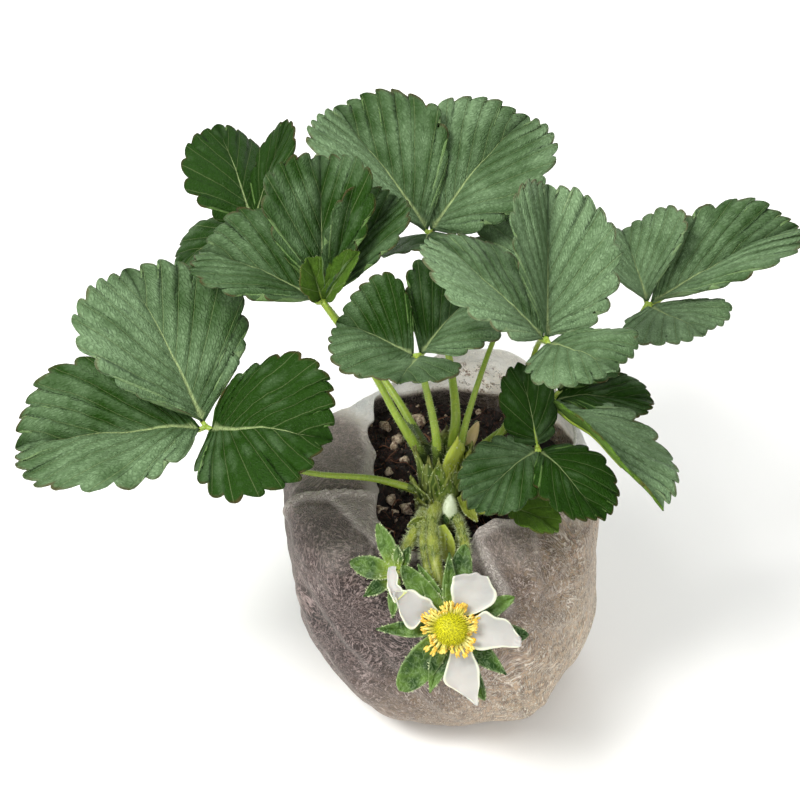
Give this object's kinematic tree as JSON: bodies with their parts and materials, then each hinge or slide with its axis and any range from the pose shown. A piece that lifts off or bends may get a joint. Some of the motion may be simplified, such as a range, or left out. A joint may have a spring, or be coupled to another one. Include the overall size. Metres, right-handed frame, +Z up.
{
  "type": "potted strawberry plant",
  "caption": "Young strawberry plant in flower, with three-part toothed leaves on thin stalks, growing in a soft cloth nursery bag of soil.",
  "frame": {"origin": "centre of the bag's flat base, where the object stands on the ground", "axes": "+Z up; -Y towards the viewer of the picture, the side over which the flower hangs; +X to that viewer's right"},
  "size_m": [0.1897, 0.1524, 0.1401],
  "materials": {
    "bag_cloth": "matte",
    "soil": "matte",
    "foliage": "satin",
    "stalk": "satin",
    "petal": "matte",
    "pollen": "matte"
  },
  "bodies": {
    "root": {"grow_bag": "bag_cloth", "soil": "soil", "crown": "stalk", "leaf_far_left": "foliage", "leaf_back_left": "foliage", "leaf_centre_left": "foliage", "leaf_back": "foliage", "leaf_centre": "foliage", "leaf_front_right": "foliage", "leaf_behind": "foliage", "leaf_far_right": "foliage", "leaf_low_right": "foliage", "leaf_low_small": "foliage", "leaf_young": "foliage", "flower_calyx_and_stalk": "foliage", "petal_1": "petal", "petal_2": "petal", "petal_3": "petal", "petal_4": "petal", "flower_centre": "pollen", "spent_flower_calyx_and_stalk": "foliage", "bud_front": "stalk", "bud_back": "stalk"}
  },
  "joints": []
}
